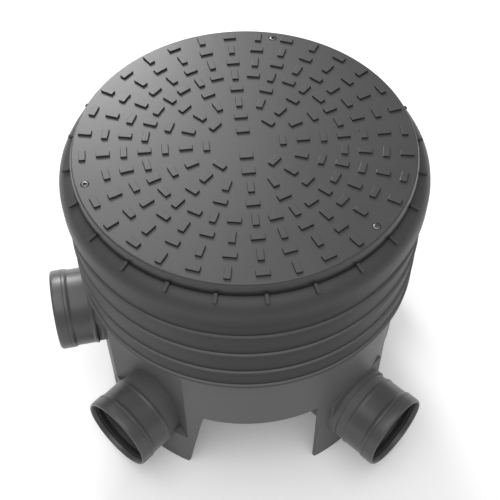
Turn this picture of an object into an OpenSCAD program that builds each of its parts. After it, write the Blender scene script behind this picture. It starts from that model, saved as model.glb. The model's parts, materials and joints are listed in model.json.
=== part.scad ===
// Drain inspection chamber: screwed tread cover and frame on a ribbed riser,
// standing on a one-piece base with channels and six push-fit pipe sockets.
// Units are millimetres, +Z is up, the origin is the middle of the underside,
// and the main channel runs along X with its outlet at +X.

/* [Overall] */
// radius of the flat top of the cover
cover_r = 232; // [215:0.5:250]
// pipe bore radius of every socket
pipe_r = 55.4; // [54:0.1:57]

/* [Cover] */
// radius of the rounded shoulder of the cover
shoulder = 4.5; // [2:0.5:8]
// thickness of the tread plate
plate_t = 6; // [4:0.5:9]
// depth of the turned-down rim, from the top of the plate
rim_h = 21; // [14:0.5:30]
// thickness of the rim wall
rim_t = 3.5; // [2.5:0.1:5]
// long side of one tread lug
lug_l = 18.5; // [12:0.5:22]
// short side of one tread lug
lug_w = 9; // [6:0.5:12]
// height of one tread lug
lug_h = 3; // [1:0.25:4]
// radius of the innermost lug pair
lug_r0 = 24; // [20:0.5:30]
// distance of the outermost lugs from the edge of the flat top
lug_edge = 13; // [11:0.5:18]
// lug positions round the full rings
lug_n = 32; // [32:16:32]
// turn of the whole tread pattern
lug_turn = 138.9; // [0:0.1:180]
// number of stiffening ribs under the cover
cover_ribs = 12; // [6:1:16]
// depth of the stiffening ribs
cover_rib_h = 14; // [8:1:15]
// thickness of the stiffening ribs
cover_rib_t = 4; // [2:0.5:5]

/* [Cover screws] */
// number of screws
screw_n = 3; // [3:1:4]
// distance of the screws from the edge of the flat top
screw_edge = 11; // [9:0.5:16]
// shank radius of a screw
screw_r = 3; // [2:0.25:4]
// head radius of a screw
head_r = 5.2; // [4.5:0.1:7]
// length of a screw below the plate top
screw_l = 34; // [26:1:36]
// play round a screw shank
screw_play = 0.4; // [0.2:0.05:1]
// wall of a threaded insert
insert_t = 1.6; // [1:0.1:2.5]
// length of a threaded insert
insert_l = 12; // [8:1:16]
// wall of the boss round an insert
boss_t = 3.5; // [2:0.25:5]

/* [Frame] */
// how far the frame stands out past the cover
frame_out = 20; // [16:0.5:30]
// wall thickness of the frame
frame_t = 3.6; // [3:0.1:6]
// height of the frame skirt
skirt_h = 36; // [24:1:44]
// how far the seat reaches in under the cover
seat_in = 6; // [3:0.5:9]
// thickness of the seat upstand
seat_t = 5; // [4:0.5:6]
// depth of the inner sleeve below the flange
sleeve_h = 14; // [8:1:24]
// fall of the flange from the rim to the skirt
flange_fall = 6; // [2:0.5:10]
// radius of the flange's rounded outer edge
nose = 8; // [5:0.5:12]
// number of locating nubs round the cover
nub_n = 24; // [12:1:36]
// length of a nub
nub_l = 12; // [8:0.5:15]
// width of a nub
nub_w = 5; // [3:0.5:8]
// height of a nub over the flange
nub_h = 7; // [4:0.5:10]
// play between the cover rim and the nubs
nub_play = 0.6; // [0.3:0.1:2]
// thickness of the foam ring under the cover
gasket_t = 4; // [2:0.5:6]
// thickness of the flat ring on the riser
frame_gasket_t = 4; // [2:0.5:6]

/* [Riser] */
// height of the riser
riser_h = 181.4; // [165:0.1:260]
// wall thickness of the riser
riser_t = 4.5; // [3:0.25:7]
// clearance between the riser wall and the frame skirt
skirt_play = 1.9; // [1:0.1:4]
// how far a rib stands out
rib_out = 3; // [1:0.25:6]
// thickness of a rib
rib_t = 4.5; // [3:0.25:8]
// distance from one rib to the next
rib_step = 44.2; // [36:0.1:50]
// height of the lowest full rib's top over the bottom edge
rib_first = 40.3; // [30:0.1:50]
// number of ribs, the bottom edge bead left out
rib_n = 3; // [1:1:3]
// how far the riser reaches down over the base
riser_lap = 46; // [40:1:60]
// width of the inner ledge that stands on the base
ledge_w = 14; // [11:0.5:20]

/* [Base] */
// step from the riser wall in to the base wall
base_step = 12; // [9:0.5:18]
// height of the base's rim
base_h = 348; // [330:1:420]
// wall thickness of the base
base_t = 4.5; // [3:0.25:7]
// height of the bottom edge of the wall
wall_z = 168; // [160:1:180]
// thickness of benching and channels
bench_t = 5; // [4:0.25:7]
// rise of the benching from the channels to the wall
bench_rise = 14; // [12:1:20]
// radius of the channels
channel_r = 52; // [48:0.5:53]
// height of the low pipe axes
low_z = 95; // [80:1:98]
// height of the high pipe axes
high_z = 210; // [200:1:230]
// height of a high inlet's gutter axis where it meets the channels
gutter_z = 165; // [150:1:175]
// angle of the high inlets from the main inlet
high_angle = 54.5; // [48:0.5:60]
// half width of a leg at its foot
leg_low = 79; // [66:1:100]
// half width of a branch leg at the wall's bottom edge
leg_top = 108; // [80:1:130]
// half width of the apron under a high socket, at the wall
leg_high = 62; // [60:1:80]
// half width of the same apron near the ground
leg_high_low = 40; // [20:1:60]
// depth of the hollow in the wall above a branch
hollow_d = 29; // [20:1:36]
// radius of that hollow
hollow_r = 250; // [160:5:400]
// distance of that hollow's top below the base's rim
hollow_top = 50; // [46:1:80]

/* [Sockets] */
// length of a socket body
socket_l = 59; // [56:1:90]
// wall thickness of a socket
socket_t = 5; // [4:0.1:7]
// gap between the wall and a branch socket
neck = 2; // [1:0.5:20]
// gap between the wall and a main socket
neck_main = 22; // [8:0.5:40]
// gap between the wall and a high socket
neck_high = 7; // [1:0.5:20]
// how far a socket reaches over its stub
stub_in = 20; // [12:1:26]
// play between a stub and its socket
stub_play = 0.1; // [0.05:0.05:0.4]
// length of a retaining cap
cap_l = 18; // [14:0.5:24]
// wall of a retaining cap
cap_t = 2.15; // [1.5:0.05:3]
// play of a retaining cap on its socket
cap_play = 0.15; // [0.05:0.05:0.3]
// wall of the seal housing
house_t = 1.4; // [1:0.1:2]
// depth of the seal groove
groove_d = 3.2; // [2.5:0.1:4]

/* [Hidden] */
$fa = 3;
$fs = 0.8;

plastic = [0.20, 0.20, 0.21];
rubber = [0.08, 0.08, 0.08];
steel = [0.75, 0.75, 0.77];
brass = [0.72, 0.58, 0.30];

// radii, from the cover outwards and back in to the base
rim_r = cover_r + shoulder;
seat_r = cover_r - seat_in;
screw_pcd_r = cover_r - screw_edge;
insert_r = screw_r + insert_t;
frame_r = rim_r + frame_out;
riser_r = frame_r - frame_t - skirt_play;
riser_in = riser_r - riser_t;
base_r = riser_r - base_step;
base_in = base_r - base_t;

// heights, from the base upwards
riser_z = base_h - riser_lap;            // bottom edge of the riser
riser_top = riser_z + riser_h;
roof_z = riser_top + frame_gasket_t;     // underside of the frame over the riser
flange_low = roof_z + frame_t + 1;       // flange just inside its rounded edge
flange_z = flange_low + flange_fall;     // flange beside the cover rim
skirt_z = flange_low - skirt_h;          // bottom edge of the skirt
total_h = flange_z + rim_h + 1;          // top of the tread plate
plate_z = total_h - plate_t;             // underside of the tread plate
seat_top = plate_z - gasket_t;           // where the foam ring lies
sleeve_z = roof_z - sleeve_h;            // bottom of the frame's inner sleeve
bench_z = low_z + pipe_r + 12;           // benching beside the channels
bench_edge = bench_z + bench_rise;       // benching at the wall
bench_flat = channel_r + 8;              // flat middle of the benching
seal_z = base_h - 24;                    // groove of the ring between riser and base
seal_in = 1.5;                           // depth of that groove
seal_h = 10;                             // height of that groove

// tread
lug_rings = 8;
lug_step = (cover_r - lug_edge - lug_r0) / (lug_rings - 1);
lug_sink = 1;                            // how deep a lug is rooted in the plate
screw_turn = lug_turn - 1.5 * 360 / lug_n;
rib_in = 36;                             // innermost stiffening ring

// sockets
stub_r = pipe_r + 3.6;                   // stub that shows between wall and socket
spigot_r = pipe_r + 1.1;                 // its end inside the socket
body_r = pipe_r + socket_t;              // outside of a socket body
groove_r = pipe_r + groove_d;            // seal groove
house_r = groove_r + house_t;            // outside of the seal housing
collar_r = house_r + cap_play + cap_t;   // outside of the cap and of the collar behind it
collar_l = cap_l + 1;                    // seal groove's depth from the mouth
gutter_r = channel_r - 1.5;
gutter_in = 60;                          // where a gutter meets the channels
gutter_out = base_r - 13;
floor_z = low_z - 10;                    // floor of the hollow above a branch

mouth_main = base_r + neck_main + socket_l;
mouth_side = base_r + neck + socket_l;
mouth_high = base_r + neck_high + socket_l;
low = [["outlet", 0, mouth_main, leg_low], ["inlet", 180, mouth_main, leg_low],
  ["left", 270, mouth_side, leg_top], ["right", 90, mouth_side, leg_top]];
high = [["high_left", 180 + high_angle], ["high_right", 180 - high_angle]];

// tube about the Z axis
module ring(ro, ri, h) {
  rotate_extrude() translate([ri, 0]) square([ro - ri, h]);
}

// axis of a pipe connection, its mouth end along +X
module along(a, z) {
  rotate([0, 0, a]) translate([0, 0, z]) rotate([0, 90, 0]) children();
}

// ---------- cover ----------
function away(a, b) = abs(((a - b) % 360 + 540) % 360 - 180);
function clear_of_screw(a) =
  min([for (i = [0:screw_n - 1]) away(a, screw_turn + i * 360 / screw_n)]) > 2.2;

module at_screws() {
  for (i = [0:screw_n - 1]) rotate([0, 0, screw_turn + i * 360 / screw_n])
    translate([screw_pcd_r, 0, 0]) children();
}

module lug(r, a, radial) {
  h = lug_h + lug_sink;
  rotate([0, 0, a]) translate([r, 0, total_h - lug_sink + h / 2])
    cube([radial ? lug_l : lug_w, radial ? lug_w : lug_l, h], center = true);
}

// n lugs in ring i; alternate rings lie crossways and lengthways by turns
module lug_ring(i, n, first_radial, alternate) {
  for (k = [0:n - 1])
    if (i < lug_rings - 1 || clear_of_screw(lug_turn + k * 360 / n))
      lug(lug_r0 + i * lug_step, lug_turn + k * 360 / n,
        alternate ? (k % 2 == (first_radial ? 0 : 1)) : first_radial);
}

module cover() {
  rib_out_r = cover_r - 28;
  sink = head_r - screw_r;
  color(plastic) difference() {
    union() {
      rotate_extrude() polygon(concat(
        [[0, plate_z], [rim_r - rim_t, plate_z], [rim_r - rim_t, total_h - rim_h],
          [rim_r, total_h - rim_h]],
        [for (t = [0:15:90])
          [rim_r - shoulder * (1 - cos(t)), total_h - shoulder * (1 - sin(t))]],
        [[0, total_h]]));
      lug_ring(0, 2, false, false);
      lug_ring(1, 8, false, false);
      lug_ring(2, lug_n / 2, true, false);
      lug_ring(3, lug_n / 2, false, false);
      for (i = [4:lug_rings - 1]) lug_ring(i, lug_n, i % 2 == 0, true);
      // stiffening spokes and rings below the plate
      translate([0, 0, plate_z - cover_rib_h]) {
        for (k = [0:cover_ribs - 1])
          rotate([0, 0, screw_turn + (k + 0.5) * 360 / cover_ribs])
            translate([rib_in - 2, -cover_rib_t / 2, 0])
              cube([rib_out_r - rib_in + 2, cover_rib_t, cover_rib_h + 1]);
        for (r = [rib_in, (rib_in + rib_out_r) / 2, rib_out_r])
          ring(r + cover_rib_t / 2, r - cover_rib_t / 2, cover_rib_h + 1);
      }
    }
    at_screws() {
      translate([0, 0, plate_z - 1]) cylinder(r = screw_r + screw_play, h = plate_t + 2);
      translate([0, 0, total_h - sink])
        cylinder(r1 = screw_r + screw_play, r2 = head_r + screw_play + 0.2, h = sink + 0.2);
    }
  }
}

module cover_gasket() {
  color(rubber) translate([0, 0, seat_top]) ring(seat_r + seat_t, seat_r, gasket_t);
}

module cover_screws() {
  color(steel) at_screws() translate([0, 0, total_h]) difference() {
    rotate_extrude() polygon([[0, -screw_l], [screw_r - 0.8, -screw_l],
      [screw_r, -screw_l + 1.2], [screw_r, screw_r - head_r], [head_r, 0], [0, 0]]);
    translate([0, 0, -2]) cylinder(r = 1.7, h = 4, $fn = 6);
  }
}

// shape of one threaded insert, waisted so that the plastic holds it
module insert_blank() {
  cylinder(r = insert_r, h = insert_l * 0.4);
  translate([0, 0, insert_l * 0.35]) cylinder(r = insert_r - 0.5, h = insert_l * 0.3);
  translate([0, 0, insert_l * 0.6]) cylinder(r = insert_r, h = insert_l * 0.4);
}

module screw_inserts() {
  color(brass) at_screws() translate([0, 0, seat_top - insert_l - 1]) difference() {
    insert_blank();
    translate([0, 0, -1]) cylinder(r = screw_r, h = insert_l + 2);
  }
}

// ---------- frame ----------
module frame() {
  fi = frame_r - frame_t;
  boss_r = insert_r + boss_t;
  color(plastic) difference() {
    union() {
      rotate_extrude() polygon(concat(
        [[seat_r, seat_top], [seat_r, sleeve_z], [seat_r + seat_t, sleeve_z],
          [seat_r + seat_t, roof_z], [fi - 2, roof_z], [fi, roof_z - 2], [fi, skirt_z + 1],
          [fi + 1, skirt_z], [frame_r - 1, skirt_z], [frame_r, skirt_z + 1]],
        [for (t = [0:15:75])
          [frame_r - nose + nose * cos(t), flange_low - nose + nose * sin(t)]],
        [[rim_r + 0.8, flange_z], [seat_r + seat_t, flange_z], [seat_r + seat_t, seat_top]]));
      // locating nubs, sloping down from the cover rim
      for (k = [0:nub_n - 1]) rotate([0, 0, lug_turn + 2.85 + (k + 0.5) * 360 / nub_n])
        translate([rim_r + nub_play, nub_w / 2, flange_z]) rotate([90, 0, 0])
          linear_extrude(nub_w)
            polygon([[0, -frame_t], [nub_l, -frame_t], [nub_l, -1], [3, nub_h], [0, nub_h]]);
      // screw bosses on the inside of the seat
      at_screws() translate([0, 0, sleeve_z]) {
        cylinder(r = boss_r, h = seat_top - sleeve_z);
        translate([0, -boss_r, 0])
          cube([seat_r + 2 - screw_pcd_r, 2 * boss_r, seat_top - sleeve_z]);
      }
    }
    at_screws() {
      translate([0, 0, seat_top - insert_l - 1]) {
        insert_blank();
        translate([0, 0, insert_l * 0.9]) cylinder(r = insert_r, h = insert_l);
      }
      translate([0, 0, sleeve_z + 2.5])
        cylinder(r = screw_r + screw_play, h = seat_top - sleeve_z - insert_l);
    }
  }
}

module frame_gasket() {
  color(rubber) translate([0, 0, riser_top])
    ring(riser_r - 0.5, riser_in - 1, frame_gasket_t);
}

// ---------- riser ----------
// outline of one rib whose top is at height z, listed upwards
function rib(z) = let(out = riser_r + rib_out) [[riser_r, z - rib_t], [out - 0.8, z - rib_t],
  [out, z - rib_t + 0.8], [out, z - 0.8], [out - 0.8, z], [riser_r, z + 0.6]];

module riser() {
  out = riser_r + rib_out;
  color(plastic) rotate_extrude() polygon(concat(
    [[out - 1, riser_z], [out, riser_z + 1], [out, riser_z + rib_t - 1],
      [out - 1, riser_z + rib_t], [riser_r, riser_z + rib_t + 1]],
    [for (k = [0:rib_n - 1]) for (p = rib(riser_z + rib_first + k * rib_step)) p],
    [[riser_r, riser_top - 1], [riser_r - 1, riser_top], [riser_in, riser_top],
      [riser_in, base_h + 12], [riser_in - ledge_w + 6, base_h + 4],
      [riser_in - ledge_w, base_h + 4], [riser_in - ledge_w, base_h], [riser_in, base_h],
      [riser_in, riser_z + 2], [riser_in + 2, riser_z]]));
}

module riser_seal() {
  gap = riser_in - base_r;
  color(rubber) translate([0, 0, seal_z]) rotate_extrude() polygon([
    [base_r - seal_in, 0], [base_r + gap * 0.4, 0], [riser_in, -4], [riser_in, -1],
    [base_r + gap * 0.6, 3], [base_r + gap * 0.4, seal_h], [base_r - seal_in, seal_h]]);
}

// ---------- base ----------
// outline of a channel, seen along its run: round bottom and upright sides
module channel_shape(r, top) {
  circle(r = r);
  translate([-r, 0]) square([2 * r, top]);
}

module channel_run(r, len, top, from) {
  translate([from, 0, low_z]) rotate([90, 0, 90])
    linear_extrude(len - from) channel_shape(r, top);
}

// leg below a socket: straight sides that lean in to the foot
module leg(w_top, w_low) {
  translate([base_r - 80, 0, 0]) rotate([90, 0, 90]) linear_extrude(120)
    polygon([[-w_top, wall_z + 6], [-w_low, -3], [w_low, -3], [w_top, wall_z + 6]]);
}

// round wall, cut away between the legs
module wall() {
  difference() {
    ring(base_r, base_in, base_h);
    difference() {
      translate([0, 0, -2]) ring(base_r + 6, base_in - 6, wall_z + 2);
      for (c = low) rotate([0, 0, c[1]]) leg(c[3], leg_low);
      for (c = high) rotate([0, 0, c[1]]) leg(leg_high, leg_high_low);
    }
  }
}

// hollow in the wall above a branch, so that its socket can sit close in
module hollow(grow) {
  translate([base_r - hollow_d + hollow_r, 0, floor_z - grow])
    cylinder(r = hollow_r + grow, h = base_h - hollow_top - floor_z + 2 * grow);
}

// sloping gutter from a high inlet down to the middle, along +X
module gutter(r, from, to) {
  run = gutter_out - gutter_in;
  fall = atan((high_z - 3 - gutter_z) / run);
  translate([gutter_in, 0, gutter_z]) rotate([0, 90 - fall, 0]) translate([0, 0, from])
    cylinder(r = r, h = run / cos(fall) + to - from);
}

// stub for a socket whose mouth is at distance m; the wall's outside is at distance d
module stub(m, d) {
  translate([0, 0, d - base_t - 3]) {
    cylinder(r = stub_r, h = m - socket_l - d + base_t + 3);
    cylinder(r = spigot_r, h = m - socket_l + stub_in - d + base_t + 3);
  }
}

module base_outer() {
  wall();
  // dished benching
  rotate_extrude() polygon([[0, bench_z - bench_t], [bench_flat, bench_z - bench_t],
    [base_r - 2, bench_edge - bench_t], [base_r - 2, bench_edge], [bench_flat, bench_z],
    [0, bench_z]]);
  // channel hulls
  for (c = low) rotate([0, 0, c[1]])
    channel_run(channel_r + bench_t, base_r - (c[1] % 180 == 0 ? 2 : hollow_d + 1),
      bench_z - 1 - low_z, 0);
  intersection() {
    for (c = high) rotate([0, 0, c[1]]) gutter(gutter_r + bench_t, -4, 12);
    rotate_extrude() polygon([[0, 0], [base_r - 2, 0], [base_r - 2, bench_edge - 1],
      [bench_flat, bench_z - 1], [0, bench_z - 1]]);
  }
  // shells behind the hollows
  for (a = [90, 270]) intersection() {
    cylinder(r = base_r - 1, h = base_h);
    rotate([0, 0, a]) hollow(base_t);
  }
  // stubs, and root rings where the main ones leave the wall
  for (c = low) along(c[1], low_z)
    stub(c[2], c[1] % 180 == 0 ? base_r : base_r - hollow_d);
  for (c = high) along(c[1], high_z) stub(mouth_high, base_r - 7);
  for (a = [0, 180]) along(a, low_z) translate([0, 0, base_r - 8])
    cylinder(r = stub_r + 2.5, h = 15);
}

module base() {
  color(plastic) difference() {
    base_outer();
    // channels, pipe bores and gutters
    for (c = low) rotate([0, 0, c[1]])
      channel_run(channel_r, base_r - (c[1] % 180 == 0 ? 12 : hollow_d + base_t),
        bench_edge - low_z + 30, -1);
    for (c = low) along(c[1], low_z) translate([0, 0, base_r / 2])
      cylinder(r = channel_r, h = c[2] - base_r / 2);
    for (c = high) along(c[1], high_z) translate([0, 0, base_r - 14])
      cylinder(r = channel_r, h = socket_l);
    for (c = high) rotate([0, 0, c[1]]) gutter(gutter_r, 0, 0);
    for (a = [90, 270]) difference() {
      rotate([0, 0, a]) hollow(0);
      along(a, low_z) cylinder(r = stub_r, h = mouth_side);
    }
    // seal groove near the rim
    translate([0, 0, seal_z]) ring(base_r + 5, base_r - seal_in, seal_h);
  }
}

// ---------- sockets, seals and caps ----------
// all drawn along +Z with the mouth plane at z = 0
module socket_body() {
  color(plastic) rotate_extrude() polygon([
    [spigot_r + stub_play, -socket_l], [spigot_r + stub_play, -socket_l + stub_in],
    [pipe_r, -socket_l + stub_in], [pipe_r, -collar_l], [groove_r, -collar_l],
    [groove_r, -2.5], [house_r, -2.5], [house_r, -cap_l], [collar_r, -cap_l],
    [collar_r, -collar_l - 4], [body_r, -collar_l - 6], [body_r, -socket_l + 5],
    [body_r + 1.2, -socket_l + 4], [body_r + 1.2, -socket_l + 1], [body_r + 0.4, -socket_l]]);
}

module seal_body() {
  lip = pipe_r + 0.1;
  color(rubber) rotate_extrude() polygon([
    [groove_r, -collar_l + 0.4], [groove_r, -8], [groove_r - 1, -8], [lip, -11.8],
    [groove_r - 1.6, -collar_l + 2.5], [groove_r - 1, -collar_l + 0.4]]);
}

module cap_body() {
  throat = pipe_r + 0.6;
  color(plastic) rotate_extrude() polygon([
    [throat, -7.5], [groove_r - cap_play, -7.5], [groove_r - cap_play, -2.5 + cap_play],
    [house_r + cap_play, -2.5 + cap_play], [house_r + cap_play, -cap_l + 0.2],
    [collar_r, -cap_l + 0.2], [collar_r, -4], [collar_r - 0.7, -1.2],
    [collar_r - 1.9, 0], [groove_r - 0.2, 0]]);
}

module at_low(i) {
  along(low[i][1], low_z) translate([0, 0, low[i][2]]) children();
}

module at_high(i) {
  along(high[i][1], high_z) translate([0, 0, mouth_high]) children();
}

cover();
cover_gasket();
cover_screws();
screw_inserts();
frame();
frame_gasket();
riser();
riser_seal();
base();
at_low(0) socket_body();  // socket_outlet
at_low(1) socket_body();  // socket_inlet
at_low(2) socket_body();  // socket_left
at_low(3) socket_body();  // socket_right
at_high(0) socket_body();  // socket_high_left
at_high(1) socket_body();  // socket_high_right
at_low(0) seal_body();  // seal_outlet
at_low(1) seal_body();  // seal_inlet
at_low(2) seal_body();  // seal_left
at_low(3) seal_body();  // seal_right
at_high(0) seal_body();  // seal_high_left
at_high(1) seal_body();  // seal_high_right
at_low(0) cap_body();  // cap_outlet
at_low(1) cap_body();  // cap_inlet
at_low(2) cap_body();  // cap_left
at_low(3) cap_body();  // cap_right
at_high(0) cap_body();  // cap_high_left
at_high(1) cap_body();  // cap_high_right
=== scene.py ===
# %% [markdown]
# # Drain inspection chamber
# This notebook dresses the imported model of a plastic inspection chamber. The model
# brings the true shapes, and the base with its channels, the ribbed riser and the seals
# are shown as they are. The cover, its screws, the frame, the sockets and their caps need
# finer edges than a plain solid gives, so they are modelled again with bmesh. Then every
# piece gets its moulded plastic, rubber or metal, and a soft studio is set up round it.
# All lengths are metres, +Z is up and the main channel runs along X.

import json
import math

import bmesh
import bpy
from mathutils import Matrix, Vector


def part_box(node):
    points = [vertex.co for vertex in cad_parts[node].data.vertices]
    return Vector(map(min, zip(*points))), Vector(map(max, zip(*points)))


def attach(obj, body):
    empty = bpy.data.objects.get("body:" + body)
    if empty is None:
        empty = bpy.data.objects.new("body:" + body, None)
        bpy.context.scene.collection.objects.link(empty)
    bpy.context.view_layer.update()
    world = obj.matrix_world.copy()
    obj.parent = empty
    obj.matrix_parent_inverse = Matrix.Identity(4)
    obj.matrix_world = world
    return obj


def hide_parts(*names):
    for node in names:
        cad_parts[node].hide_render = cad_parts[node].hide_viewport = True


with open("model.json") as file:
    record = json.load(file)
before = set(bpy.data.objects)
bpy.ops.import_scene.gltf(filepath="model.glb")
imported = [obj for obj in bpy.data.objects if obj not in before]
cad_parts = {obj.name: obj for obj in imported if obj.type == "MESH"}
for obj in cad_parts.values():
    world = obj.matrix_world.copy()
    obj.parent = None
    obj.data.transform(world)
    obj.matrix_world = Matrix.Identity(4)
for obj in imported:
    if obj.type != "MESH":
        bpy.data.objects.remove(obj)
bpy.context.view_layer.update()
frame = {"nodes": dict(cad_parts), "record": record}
ROOT = "root"
MM = 0.001

# %% [markdown]
# ## The sizes that everything else follows
# The frame already holds most sizes: a node's box gives the cover's radius, the height
# of its rim and the frame's reach, and the record gives where each socket sits and which
# way it points. Reading them from there keeps the new pieces right if the model is made
# again with another size. Only what a box can't tell, such as a lug's width, is given next
# to the piece that needs it.

# %% Sizes from the frame
cover_low, cover_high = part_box("cover")
gasket_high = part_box("cover_gasket")[1]
LUG_HEIGHT = 3 * MM
PLATE_TOP = cover_high.z - LUG_HEIGHT
PLATE_UNDER = gasket_high.z
RIM_RADIUS = cover_high.x
RIM_BOTTOM = cover_low.z
print("cover radius", round(RIM_RADIUS, 4), "plate top", round(PLATE_TOP, 4))

# %% [markdown]
# ## A helper that turns a bmesh into a piece
# Each finished piece sits at the origin, unturned and unscaled, with its place in its
# mesh, exactly as the nodes of the frame do. So one helper closes doubles, makes the
# faces point outwards, smooths the shading by angle, and lets the piece ride on the
# body. A piece may be dressed in another finish than its slot's, as the frame is later.
# Normals are recalculated only after the doubles are merged, because a spun surface with
# an open seam could be turned inside out.

# %% Finish a piece
SMOOTH_ANGLE = math.radians(32)
DOUBLES = 1e-6
new_pieces = []
finish_of_piece = {}


def link_mesh(bm, name):
    mesh = bpy.data.meshes.new(name)
    bm.to_mesh(mesh)
    bm.free()
    made = bpy.data.objects.new(name, mesh)
    bpy.context.scene.collection.objects.link(made)
    return made


def smooth_by_angle(mesh):
    mesh.shade_smooth()
    mesh.set_sharp_from_angle(angle=SMOOTH_ANGLE)


def finish_piece(bm, name, stands_for, slot, dress=None):
    bmesh.ops.remove_doubles(bm, verts=bm.verts[:], dist=DOUBLES)
    bmesh.ops.recalc_face_normals(bm, faces=bm.faces[:])
    piece = link_mesh(bm, name)
    smooth_by_angle(piece.data)
    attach(piece, ROOT)
    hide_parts(*stands_for)
    new_pieces.append(piece)
    finish_of_piece[name] = dress or slot
    print(name, "has", len(piece.data.polygons), "faces")
    return piece


# %% [markdown]
# ## Spinning a moulded ring
# Nearly every part of a chamber is a body of revolution: its mould is turned on a
# lathe. In Blender that is a spin: a closed outline in the XZ plane is swept once round
# Z. Moulded plastic has no knife edges, and it is the small radius that catches the
# light, so each corner of the outline carries its own rounding. A vertex bevel makes
# it, one call for each size of rounding, before the outline is spun. Points that two
# edges share are listed only once.

# %% Spin an outline, or add a plain cylinder
ROUNDING_STEPS = 4


def spin_outline(bm, corners, steps=128):
    """corners are (radius, height, rounding), listed round a closed outline."""
    verts = [bm.verts.new((r, 0, z)) for r, z, _ in corners]
    outline = [bm.edges.new((verts[i - 1], verts[i])) for i in range(len(verts))]
    for rounding in sorted({c[2] for c in corners} - {0}, reverse=True):
        group = [v for v, c in zip(verts, corners) if c[2] == rounding]
        bmesh.ops.bevel(bm, geom=group, offset=rounding, offset_type="OFFSET",
                        affect="VERTICES", segments=ROUNDING_STEPS, profile=0.5,
                        material=-1, clamp_overlap=True)
    loose = [e for e in bm.edges if not e.link_faces]
    points = list(dict.fromkeys(v for e in loose for v in e.verts))
    bmesh.ops.spin(bm, geom=points + loose, cent=(0, 0, 0), axis=(0, 0, 1),
                   angle=math.tau, steps=steps, use_merge=True)


def add_cylinder(bm, radius, depth, segments, capped=True):
    return bmesh.ops.create_cone(bm, cap_ends=capped, segments=segments, radius1=radius,
                                 radius2=radius, depth=depth)["verts"]


# %% [markdown]
# ## The tread lugs
# The cover is walked on, so its top is covered in short raised lugs that lie crossways
# and lengthways by turns. They stand in eight rings. All rings but the innermost have a
# multiple of eight lugs, so the rows also line up like spokes. A lug is a small block
# with sloping sides, or the mould would not let go of it. Typing its eight corners by
# hand would work, but a cube that is tapered and bevelled says the same in three calls.

# %% One lug
LUG_LONG, LUG_SHORT = 18.5 * MM, 9 * MM
LUG_DRAFT = 0.5 * MM
LUG_EDGE = 0.3 * MM
LUG_SINK = 1 * MM


def add_lug(bm, radius, angle, lengthways):
    size_r, size_t = (LUG_LONG, LUG_SHORT) if lengthways else (LUG_SHORT, LUG_LONG)
    height = LUG_HEIGHT + LUG_SINK
    place = (Matrix.Rotation(angle, 4, "Z")
             @ Matrix.Translation((radius, 0, PLATE_TOP - LUG_SINK + height / 2)))
    made = bmesh.ops.create_cube(bm, size=1)["verts"]
    bmesh.ops.scale(bm, vec=(size_r, size_t, height), verts=made)
    top = [v for v in made if v.co.z > 0]
    bmesh.ops.scale(bm, vec=(1 - LUG_DRAFT / size_r, 1 - LUG_DRAFT / size_t, 1), verts=top)
    edges = list(dict.fromkeys(e for v in top for e in v.link_edges))
    bevelled = bmesh.ops.bevel(bm, geom=edges, offset=LUG_EDGE, offset_type="OFFSET",
                               affect="EDGES", segments=1, profile=0.5, material=-1)
    lug = [v for f in bevelled["faces"] for v in f.verts] + [v for v in made if v.is_valid]
    bmesh.ops.transform(bm, matrix=place, verts=list(dict.fromkeys(lug)))


# %% [markdown]
# ## The cover
# One moulding: a flat plate with a rounded shoulder and a turned-down rim, the lugs on
# top, and rings and spokes below that keep it stiff. The plate and the rings are spun,
# the spokes are scaled cubes. Three cylinders cut the screw holes with a boolean, which
# is the quickest way to drill a finished moulding. A lug that would stand on a screw is
# left out.

# %% Lug rings and screw places
LUG_TURN = math.radians(138.9)
LUG_STEPS = 32
FIRST_RING = 24 * MM
LAST_RING = RIM_RADIUS - 17.5 * MM
# Each ring: how many lugs, whether the first lies lengthways, whether they alternate.
LUG_RINGS = ((2, False, False), (8, False, False), (16, True, False), (16, False, False),
             (32, True, True), (32, False, True), (32, True, True), (32, False, True))
SCREW_COUNT = 3
SCREW_RADIUS = 221 * MM
SCREW_TURN = LUG_TURN - 1.5 * math.tau / LUG_STEPS
SCREW_CLEAR = math.radians(2.2)
screw_angles = [SCREW_TURN + k * math.tau / SCREW_COUNT for k in range(SCREW_COUNT)]


def screw_place(angle, height):
    return SCREW_RADIUS * math.cos(angle), SCREW_RADIUS * math.sin(angle), height


def near_screw(angle):
    gaps = [abs((angle - a + math.pi) % math.tau - math.pi) for a in screw_angles]
    return min(gaps) < SCREW_CLEAR


def add_lugs(bm):
    last = len(LUG_RINGS) - 1
    for ring, (count, first_lengthways, alternate) in enumerate(LUG_RINGS):
        radius = FIRST_RING + (LAST_RING - FIRST_RING) * ring / last
        for k in range(count):
            angle = LUG_TURN + k * math.tau / count
            if ring == last and near_screw(angle):
                continue
            add_lug(bm, radius, angle, first_lengthways != (alternate and k % 2 == 1))


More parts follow.
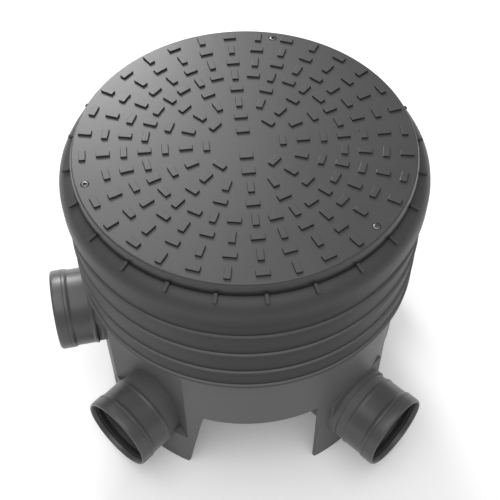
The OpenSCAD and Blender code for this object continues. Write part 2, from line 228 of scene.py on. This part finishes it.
# %% Plate, rim and stiffening
RIM_WALL = 3.5 * MM
RIM_EDGE = 1.6 * MM
RIM_DRAFT = 2.2 * MM
DRAFT_DEPTH = 7 * MM
SMALL_EDGE = 0.5 * MM
RIB_DEPTH = 14 * MM
RIB_WALL = 4 * MM
RIB_RINGS = (36 * MM, 120 * MM, 204 * MM)
SPOKES = 12
HOLE_RADIUS = 5.8 * MM
HOLE_DEPTH = 30 * MM
FLAT_RADIUS = RIM_RADIUS - RIM_DRAFT - RIM_EDGE - 0.4 * MM
INNER_RADIUS = RIM_RADIUS - RIM_WALL
COVER_OUTLINE = [
    (0, PLATE_UNDER, 0), (INNER_RADIUS, PLATE_UNDER, 0),
    (INNER_RADIUS, RIM_BOTTOM, SMALL_EDGE), (RIM_RADIUS, RIM_BOTTOM, SMALL_EDGE),
    (RIM_RADIUS, PLATE_TOP - DRAFT_DEPTH, 0),
    (RIM_RADIUS - RIM_DRAFT, PLATE_TOP, RIM_EDGE), (FLAT_RADIUS, PLATE_TOP, 0),
    (RIM_RADIUS * 0.5, PLATE_TOP, 0), (0, PLATE_TOP, 0)]


def add_rib_ring(bm, radius):
    inner, outer = radius - RIB_WALL / 2, radius + RIB_WALL / 2
    root, foot = PLATE_UNDER + MM, PLATE_UNDER - RIB_DEPTH
    spin_outline(bm, [(inner, root, 0), (outer, root, 0),
                      (outer, foot, SMALL_EDGE), (inner, foot, SMALL_EDGE)], steps=96)


def add_spoke(bm, angle):
    reach = RIB_RINGS[-1] - RIB_RINGS[0]
    middle = (RIB_RINGS[-1] + RIB_RINGS[0]) / 2
    spoke = bmesh.ops.create_cube(bm, size=1)["verts"]
    bmesh.ops.scale(bm, vec=(reach, RIB_WALL, RIB_DEPTH), verts=spoke)
    spot = (Matrix.Rotation(angle, 4, "Z")
            @ Matrix.Translation((middle, 0, PLATE_UNDER - RIB_DEPTH / 2)))
    bmesh.ops.transform(bm, verts=spoke, matrix=spot)


def make_cover():
    bm = bmesh.new()
    spin_outline(bm, COVER_OUTLINE, steps=192)
    for radius in RIB_RINGS:
        add_rib_ring(bm, radius)
    for k in range(SPOKES):
        add_spoke(bm, SCREW_TURN + (k + 0.5) * math.tau / SPOKES)
    add_lugs(bm)
    return finish_piece(bm, "tread_cover", ["cover"], "cover_plastic")


# %% Screw holes
def drill_cover(made):
    cutter = bmesh.new()
    for angle in screw_angles:
        hole = add_cylinder(cutter, HOLE_RADIUS, HOLE_DEPTH, 32)
        bmesh.ops.translate(cutter, verts=hole, vec=screw_place(angle, PLATE_TOP))
    drill = link_mesh(cutter, "drill")
    cut = made.modifiers.new("drill", "BOOLEAN")
    cut.operation = "DIFFERENCE"
    cut.solver = "EXACT"
    cut.object = drill
    view = bpy.context.evaluated_depsgraph_get()
    drilled = bpy.data.meshes.new_from_object(made.evaluated_get(view))
    made.modifiers.clear()
    made.data = drilled
    smooth_by_angle(drilled)
    bpy.data.objects.remove(drill)


drill_cover(make_cover())

# %% [markdown]
# ## The cover screws
# Three plated screws hold the cover down. Their heads are the only metal that shows on
# the whole part, so they get a real drive recess. The head is spun from an outline that
# dips in the middle, which leaves a round pocket, and a six-sided collar is set into
# that pocket for the key.

# %% Screws
HEAD_RADIUS = 5.2 * MM
SHANK_RADIUS = 3 * MM
SCREW_LENGTH = 34 * MM
POCKET_RADIUS = 2.6 * MM
POCKET_DEPTH = 1.6 * MM
KEY_DEPTH = 1.2 * MM
CRISP = 0.15 * MM
TIP = PLATE_TOP - SCREW_LENGTH
SCREW_OUTLINE = [
    (0, TIP, 0), (SHANK_RADIUS - 0.8 * MM, TIP, 0), (SHANK_RADIUS, TIP + 1.5 * MM, 0),
    (SHANK_RADIUS, PLATE_TOP - 2.6 * MM, 0), (HEAD_RADIUS, PLATE_TOP - 0.6 * MM, CRISP),
    (HEAD_RADIUS - 0.4 * MM, PLATE_TOP + 0.3 * MM, 2 * CRISP),
    (POCKET_RADIUS + 0.1 * MM, PLATE_TOP + 0.8 * MM, CRISP),
    (POCKET_RADIUS, PLATE_TOP - POCKET_DEPTH, CRISP),
    (0, PLATE_TOP - POCKET_DEPTH - 0.2 * MM, 0)]


def make_screws():
    bm = bmesh.new()
    for angle in screw_angles:
        before = set(bm.verts)
        spin_outline(bm, SCREW_OUTLINE, steps=36)
        collar = add_cylinder(bm, POCKET_RADIUS, KEY_DEPTH, 6, capped=False)
        bmesh.ops.translate(bm, verts=collar, vec=(0, 0, PLATE_TOP))
        new = [v for v in bm.verts if v not in before]
        bmesh.ops.translate(bm, verts=new, vec=screw_place(angle, 0))
    finish_piece(bm, "cover_screw_set", ["cover_screws"], "screw_steel")


make_screws()

# %% [markdown]
# ## The cover frame
# The frame is the ring that the cover drops into. Its flange rolls over a broad shoulder
# into a skirt that covers the top of the riser, and inside stands the ring that the foam
# and the cover rest on. The whole ring is one outline, spun. Round the cover stand small
# gussets that keep it centred. Each starts as a cube, and pulling its outer top edge
# down makes the wedge. The frame fills the same slot as the cover but is duller, so it
# is dressed in a finish of its own.

# %% Frame outline
frame_low, frame_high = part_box("frame")
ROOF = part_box("frame_gasket")[1].z
FRAME_RADIUS = frame_high.x
FRAME_WALL = 3.6 * MM
FLANGE = RIM_BOTTOM - 1 * MM
SEAT_OUTER = gasket_high.x
SEAT_INNER = SEAT_OUTER - 5 * MM
SLEEVE = ROOF - 14 * MM
SHOULDER = FLANGE - 6 * MM
SHOULDER_ROUNDING = 15 * MM
SKIRT_INNER = FRAME_RADIUS - FRAME_WALL
FRAME_OUTLINE = [
    (SEAT_INNER, frame_high.z, SMALL_EDGE), (SEAT_INNER, SLEEVE, SMALL_EDGE),
    (SEAT_OUTER, SLEEVE, SMALL_EDGE), (SEAT_OUTER, ROOF, 0), (SKIRT_INNER, ROOF, 0),
    (SKIRT_INNER, frame_low.z, SMALL_EDGE), (FRAME_RADIUS, frame_low.z, SMALL_EDGE),
    (FRAME_RADIUS, SHOULDER, SHOULDER_ROUNDING), (RIM_RADIUS + 0.8 * MM, FLANGE, 0),
    (SEAT_OUTER, FLANGE, 0), (SEAT_OUTER, frame_high.z, SMALL_EDGE)]

# %% Gussets and bosses
GUSSETS = 24
GUSSET_TURN = math.radians(4.5)
GUSSET = Vector((12 * MM, 4.6 * MM, 6 * MM))
GUSSET_FALL = 0.66 * GUSSET.z
GUSSET_MIDDLE = Vector((RIM_RADIUS + 0.4 * MM + GUSSET.x / 2, 0, FLANGE + 2 * MM))
BOSS_RADIUS = 8.1 * MM


def add_gusset(bm, angle):
    made = bmesh.ops.create_cube(bm, size=1)["verts"]
    bmesh.ops.scale(bm, vec=GUSSET, verts=made)
    outer_top = [v for v in made if v.co.z > 0 and v.co.x > 0]
    bmesh.ops.translate(bm, verts=outer_top, vec=(0, 0, -GUSSET_FALL))
    spot = Matrix.Rotation(angle, 4, "Z") @ Matrix.Translation(GUSSET_MIDDLE)
    bmesh.ops.transform(bm, matrix=spot, verts=made)


def make_frame():
    bm = bmesh.new()
    spin_outline(bm, FRAME_OUTLINE, steps=192)
    for k in range(GUSSETS):
        add_gusset(bm, GUSSET_TURN + k * math.tau / GUSSETS)
    for angle in screw_angles:
        boss = add_cylinder(bm, BOSS_RADIUS, frame_high.z - SLEEVE, 40)
        middle = screw_place(angle, (frame_high.z + SLEEVE) / 2)
        bmesh.ops.translate(bm, verts=boss, vec=middle)
    finish_piece(bm, "cover_frame", ["frame"], "cover_plastic", dress="frame_plastic")


make_frame()

# %% [markdown]
# ## Pipe sockets and their caps
# Each of the six sockets takes a drain pipe past a rubber ring. The ring lies in a
# groove at the mouth, and a thin cap is pushed over the groove to hold it. Both are
# turned shapes, so both are spun along +Z with the mouth at zero, and then one matrix
# carries them to their place. The record lists a mount for each pipe, with a point and
# a direction, and that is all the matrix needs. The steps of the outside are rounded
# much more than the inside, because they are what the light plays on.

# %% Where each socket points
MOUNT_TO_MOUTH = 29 * MM
BORE = frame["record"]["mounts"][0]["dims"]["r_mm"] * MM
GROOVE = BORE + 3.2 * MM
HOUSING = GROOVE + 1.4 * MM
COLLAR = HOUSING + 2.3 * MM
BODY = BORE + 5 * MM
SPIGOT = BORE + 1.2 * MM
BODY_LENGTH = 59 * MM
CAP_LENGTH = 18 * MM
GROOVE_BACK = -19 * MM
GROOVE_FRONT = -2.5 * MM
BORE_BACK = -39 * MM


def socket_places():
    for mount in frame["record"]["mounts"]:
        along = Vector(mount["axis"])
        mouth = Vector(mount["pos_m"]) + along * MOUNT_TO_MOUTH
        turn = Vector((0, 0, 1)).rotation_difference(along).to_matrix().to_4x4()
        yield mount["name"].replace("pipe_", ""), Matrix.Translation(mouth) @ turn


print("sockets:", [name for name, _ in socket_places()])

# %% Socket bodies
SOFT = 1.6 * MM
FINE = 0.3 * MM
BEAD = BODY + 1.2 * MM
BODY_OUTLINE = [
    (SPIGOT, -BODY_LENGTH, FINE), (SPIGOT, BORE_BACK, FINE), (BORE, BORE_BACK, FINE),
    (BORE, GROOVE_BACK, FINE), (GROOVE, GROOVE_BACK, FINE), (GROOVE, GROOVE_FRONT, FINE),
    (HOUSING, GROOVE_FRONT, FINE), (HOUSING, -CAP_LENGTH, 0), (COLLAR, -CAP_LENGTH, FINE),
    (COLLAR, -22.5 * MM, SOFT), (BODY, -26 * MM, SOFT), (BODY, -53.5 * MM, SOFT),
    (BEAD, -55.5 * MM, 2 * FINE), (BEAD, -BODY_LENGTH, FINE)]


def make_at_sockets(outline, new_name, old_name):
    for name, place in socket_places():
        bm = bmesh.new()
        spin_outline(bm, outline, steps=96)
        bmesh.ops.transform(bm, matrix=place, verts=bm.verts[:])
        finish_piece(bm, new_name + name, [old_name + name], "socket_plastic")


make_at_sockets(BODY_OUTLINE, "socket_body_", "socket_")

# %% Retaining caps
PLAY = 0.15 * MM
CAP_BACK = -CAP_LENGTH + 0.2 * MM
CAP_STEP = -7.5 * MM
CAP_NOSE = 0.7 * MM
CAP_OUTLINE = [
    (BORE + 0.6 * MM, CAP_STEP, FINE), (GROOVE - PLAY, CAP_STEP, 0),
    (GROOVE - PLAY, GROOVE_FRONT + PLAY, 0), (HOUSING + PLAY, GROOVE_FRONT + PLAY, 0),
    (HOUSING + PLAY, CAP_BACK, FINE), (COLLAR, CAP_BACK, FINE), (COLLAR, -3 * MM, SOFT),
    (COLLAR - 1.6 * MM, 0, CAP_NOSE), (GROOVE - 0.2 * MM, 0, CAP_NOSE)]

make_at_sockets(CAP_OUTLINE, "retaining_cap_", "cap_")

# %% [markdown]
# ## Finishes
# A shader is a sum written in nodes. Building it node by node hides the sum, so a small
# class wraps a socket and lets Python's own signs add the Math nodes: noise * 0.2 + 0.4
# reads like what it does. Any other node comes from one method.

# %% Shader maths
class Socket:
    def __init__(self, tree, out):
        self.tree, self.out = tree, out

    def math(self, operation, other):
        return self.tree.node("ShaderNodeMath", {"operation": operation},
                              {0: self, 1: other})

    def __add__(self, other):
        return self.math("ADD", other)

    def __sub__(self, other):
        return self.math("SUBTRACT", other)

    def __mul__(self, other):
        return self.math("MULTIPLY", other)

    def __pow__(self, other):
        return self.math("POWER", other)


# %% Node trees
class Tree:
    def __init__(self, owner):
        owner.use_nodes = True
        self.owner = owner
        self.nodes = owner.node_tree.nodes
        self.links = owner.node_tree.links
        self.nodes.clear()

    def node(self, kind, settings, inputs, output=0):
        made = self.nodes.new(kind)
        for key, value in settings.items():
            setattr(made, key, value)
        for key, value in inputs.items():
            if isinstance(value, Socket):
                self.links.new(value.out, made.inputs[key])
            else:
                made.inputs[key].default_value = value
        return Socket(self, made.outputs[output]) if made.outputs else None

    def place(self):
        return self.node("ShaderNodeTexCoord", {}, {}, "Object")

    def upward(self, vector):
        return self.node("ShaderNodeSeparateXYZ", {}, {"Vector": vector}, "Z")

    def spread(self, value, low, high, to_low=0.0, to_high=1.0):
        return self.node("ShaderNodeMapRange", {}, {
            "Value": value, "From Min": low, "From Max": high,
            "To Min": to_low, "To Max": to_high})

    def noise(self, where, scale, detail=3.0, roughness=0.5):
        return self.node("ShaderNodeTexNoise", {}, {
            "Vector": where, "Scale": scale, "Detail": detail, "Roughness": roughness})

    def blend(self, factor, a, b):
        return self.node("ShaderNodeMix", {"data_type": "RGBA"},
                         {0: factor, 6: (*a, 1) if isinstance(a, tuple) else a,
                          7: (*b, 1) if isinstance(b, tuple) else b}, 2)

    def surface(self, colour, roughness, normal=None, metallic=0.0, specular=0.5, **fixed):
        inputs = {"Base Color": colour, "Roughness": roughness, "Metallic": metallic,
                  "Specular IOR Level": specular}
        if normal is not None:
            inputs["Normal"] = normal
        inputs.update(fixed)
        shader = self.node("ShaderNodeBsdfPrincipled", {}, inputs)
        self.node("ShaderNodeOutputMaterial", {}, {"Surface": shader})
        return self.owner


# %% [markdown]
# ## Moulded plastic
# The whole chamber is dark polypropylene, but no two mouldings look alike: the cover has
# a polished mould and picks up a soft sheen, and the riser is matt. The base is given a
# paler tone, painted light that stands in for the light the white floor throws up onto it.
# One recipe makes them all. A broad noise drifts the colour and the gloss, a fine one
# gives the skin its grain, and a Bevel node rounds the sharp edges by a fraction of a
# millimetre, so that they catch the light as real edges do.

# %% Plastic recipe
GRAIN = 0.03
GRAIN_DEPTH = 0.3 * MM
DRIFT = 0.10


def scaled(tone, factor):
    return tuple(c * factor for c in tone)


def plastic(name, tone, rough, edge=0.5 * MM, side_tone=1.0, specular=0.5, shade=None):
    tree = Tree(bpy.data.materials.new(name))
    where = tree.place()
    cloud = tree.noise(where, 9, 4, 0.55)
    fine = tree.noise(where, 900, 2, 0.6)
    colour = tree.blend(cloud, scaled(tone, 1 - DRIFT), scaled(tone, 1 + DRIFT))
    # painted shade: faces that look sideways are darkened to side_tone of the colour, so
    # tops stand lighter than sides
    if side_tone < 1:
        facing = tree.node("ShaderNodeNewGeometry", {}, {}, "Normal")
        top = tree.spread(tree.upward(facing), 0.2, 0.9)
        colour = tree.blend(top, scaled(tone, side_tone), colour)
    # painted shade by height: the shade function darkens the colour towards black
    if shade:
        colour = tree.blend(shade(tree, where), colour, (0, 0, 0))
    gloss = cloud * 0.10 + fine * 0.05 + (rough - 0.07)
    rounded = tree.node("ShaderNodeBevel", {"samples": 4}, {"Radius": edge})
    skin = tree.node("ShaderNodeBump", {}, {"Strength": GRAIN, "Distance": GRAIN_DEPTH,
                                            "Height": fine, "Normal": rounded})
    return tree.surface(colour, gloss, skin, specular=specular)


# %% [markdown]
# ## Painted shade on sides, under ribs and down the skirt
# Painted shade darkens every face that looks sideways, so the sides of lugs and ribs and
# the walls between them stay darker than their tops, which stand out as painted light.
# Under each rib the wall gets more painted shade, darkest right under the rib and paler
# towards the next rib below. The height of a point, cut into equal steps, gives that
# fading: its fraction runs from nothing above one rib to one under the next. The skirt of
# the frame gets painted shade in a plainer way, darkest at its lower edge.

# %% Shade under ribs and down the skirt
RIB_STEP = 44.2 * MM
RIB_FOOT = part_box("riser")[0].z + 35.8 * MM
RIB_SHADE = 0.45
SKIRT_SHADE = 0.85
SKIRT_FADE = 22 * MM


# painted shade under each rib: darkest right under the rib, fading towards the next rib
# below
def painted_shade_under_ribs(tree, where):
    steps = (tree.upward(where) - RIB_FOOT) * (1 / RIB_STEP)
    part = tree.node("ShaderNodeMath", {"operation": "FRACT"}, {0: steps})
    return part ** 6 * RIB_SHADE


# painted shade down the frame's skirt: darkest at its lower edge, fading out SKIRT_FADE
# above it
def painted_shade_down_skirt(tree, where):
    low = frame_low.z
    return tree.spread(tree.upward(where), low, low + SKIRT_FADE, SKIRT_SHADE, 0.0)


# %% The five plastics
finish = {
    # painted shade: the cover's lug sides and rim are darkened to 0.4 of its tone
    "cover_plastic": plastic("cover plastic", (0.050, 0.050, 0.051), 0.33, side_tone=0.4),
    # painted shade: the frame's skirt darkens towards its lower edge
    "frame_plastic": plastic("frame plastic", (0.064, 0.064, 0.065), 0.45, specular=0.22,
                             shade=painted_shade_down_skirt),
    # painted shade: the riser's walls are darkened to 0.21 of its tone, so the rib tops
    # stand out as painted light lines, and painted shade darkens the wall under each rib
    "riser_plastic": plastic("riser plastic", (0.150, 0.150, 0.152), 0.50, side_tone=0.21,
                             specular=0.3, edge=0.2 * MM, shade=painted_shade_under_ribs),
    # painted light: the base's paler tone stands in for light the white floor throws up
    # onto it
    "base_plastic": plastic("base plastic", (0.125, 0.125, 0.127), 0.50, specular=0.45),
    "socket_plastic": plastic("socket plastic", (0.085, 0.085, 0.087), 0.36),
}
print("plastics:", len(finish))

# %% [markdown]
# ## Rubber, plated steel and brass
# The seals are matt black with a slightly open skin. The screws are zinc plate that has
# gone a dull grey, with wear drifting their colour and gloss. The inserts are turned
# brass and sit out of sight.

# %% Rubber and metals
def rubber():
    tree = Tree(bpy.data.materials.new("seal rubber"))
    skin = tree.noise(tree.place(), 320, 3, 0.6)
    colour = tree.blend(skin, (0.030, 0.030, 0.030), (0.050, 0.050, 0.050))
    bump = tree.node("ShaderNodeBump", {}, {"Strength": 0.15, "Distance": GRAIN_DEPTH,
                                            "Height": skin})
    return tree.surface(colour, skin * 0.15 + 0.62, bump, specular=0.3)


def metal(name, dull, bright, rough):
    tree = Tree(bpy.data.materials.new(name))
    wear = tree.noise(tree.place(), 420, 3, 0.6)
    return tree.surface(tree.blend(wear, dull, bright), wear * 0.2 + rough, metallic=1.0)


finish["rubber"] = rubber()
finish["screw_steel"] = metal("zinc plate", (0.10, 0.10, 0.10), (0.24, 0.24, 0.25), 0.30)
finish["insert_brass"] = metal("turned brass", (0.55, 0.40, 0.16), (0.78, 0.60, 0.30),
                               0.25)

# %% Dress every piece
slot_of = {row["node"]: row["material_slot"] for row in frame["record"]["subparts"]}
for name, node in frame["nodes"].items():
    node.data.materials.clear()
    node.data.materials.append(finish[slot_of[name]])
for piece in new_pieces:
    piece.data.materials.clear()
    piece.data.materials.append(finish[finish_of_piece[piece.name]])
print("dressed", len(frame["nodes"]), "nodes and", len(new_pieces), "new pieces")

# %% [markdown]
# ## Floor and studio
# A pale floor, a broad overhead light and two smaller ones that give the cover its
# sheen: the chamber shades the ground below it, and that soft shadow is what makes it
# stand. The background stays white because the floor and the world show white to the
# camera, not because the light is strong. Away from the chamber the floor glows a little
# more, to camera and gloss alone, and so runs into the world without an edge.

# %% Floor
FLOOR_REACH = 14
FLOOR_DROP = 0.5 * MM
GLOW_NEAR = 0.9
GLOW_FAR = 2.2


def floor_paper():
    tree = Tree(bpy.data.materials.new("floor paper"))
    where = tree.place()
    cloud = tree.noise(where, 1.2, 2, 0.5)
    reach = tree.node("ShaderNodeVectorMath", {"operation": "LENGTH"}, {0: where}, 1)
    far = tree.spread(reach, GLOW_NEAR, GLOW_FAR)
    glow = tree.blend(far, (0.15, 0.15, 0.15), (1, 1, 1))
    paper = tree.blend(cloud, (0.58, 0.58, 0.58), (0.62, 0.62, 0.62))
    path = tree.nodes.new("ShaderNodeLightPath").outputs
    seen = Socket(tree, path["Is Camera Ray"]) + Socket(tree, path["Is Glossy Ray"])
    tone = tree.blend(seen, paper, (0.97, 0.97, 0.97))
    lift = tree.blend(seen, (0, 0, 0), glow)
    return tree.surface(tone, 0.9, specular=0.0,
                        **{"Emission Color": lift, "Emission Strength": 1.0})


def make_floor():
    bm = bmesh.new()
    bmesh.ops.create_grid(bm, x_segments=2, y_segments=2, size=FLOOR_REACH)
    bmesh.ops.translate(bm, verts=bm.verts[:], vec=(0, 0, -FLOOR_DROP))
    floor = link_mesh(bm, "studio_floor")
    floor.data.materials.append(floor_paper())
    print("floor reaches", FLOOR_REACH, "m each way")


make_floor()

# %% Lights and world
MIDDLE = Vector((0, 0, 0.26))


def softbox(name, azimuth, elevation, distance, size, power):
    data = bpy.data.lights.new(name, "AREA")
    data.shape = "DISK"
    data.size = size
    data.energy = power
    lamp = bpy.data.objects.new(name, data)
    a, e = math.radians(azimuth), math.radians(elevation)
    lamp.location = MIDDLE + distance * Vector((math.cos(e) * math.cos(a),
                                                math.cos(e) * math.sin(a), math.sin(e)))
    lamp.rotation_euler = (lamp.location - MIDDLE).to_track_quat("Z", "Y").to_euler()
    bpy.context.scene.collection.objects.link(lamp)


softbox("overhead", azimuth=-64, elevation=76, distance=3.5, size=4.0, power=84)
softbox("sheen", azimuth=152, elevation=46, distance=3.0, size=1.8, power=17)
softbox("gloss", azimuth=151, elevation=33, distance=3.0, size=0.8, power=38)


def make_world():
    tree = Tree(bpy.data.worlds.new("studio"))
    white = (1, 1, 1, 1)
    lit = tree.node("ShaderNodeBackground", {}, {"Color": white, "Strength": 0.36})
    seen = tree.node("ShaderNodeBackground", {}, {"Color": white, "Strength": 1.0})
    camera_ray = tree.node("ShaderNodeLightPath", {}, {}, "Is Camera Ray")
    both = tree.node("ShaderNodeMixShader", {}, {0: camera_ray, 1: lit, 2: seen})
    tree.node("ShaderNodeOutputWorld", {}, {"Surface": both})
    bpy.context.scene.world = tree.owner


make_world()

# %% [markdown]
# ## Camera
# A short telephoto looks down at the cover from the corner between the outlet and the
# left branch.

# %% Camera
CAMERA_AT = Vector((0.619, -0.652, 1.4536))
LOOK = Vector((-0.4163, 0.4449, -0.7930))
ROLL = math.radians(-0.35)
lens = bpy.data.cameras.new("camera")
lens.lens = 68.49
lens.sensor_width = 36
lens.clip_end = 50
camera = bpy.data.objects.new("camera", lens)
turn = LOOK.to_track_quat("-Z", "Y") @ Matrix.Rotation(ROLL, 3, "Z").to_quaternion()
camera.rotation_mode = "QUATERNION"
camera.location, camera.rotation_quaternion = CAMERA_AT, turn
bpy.context.scene.collection.objects.link(camera)
bpy.context.scene.camera = camera
bpy.context.scene.view_settings.view_transform = "Standard"
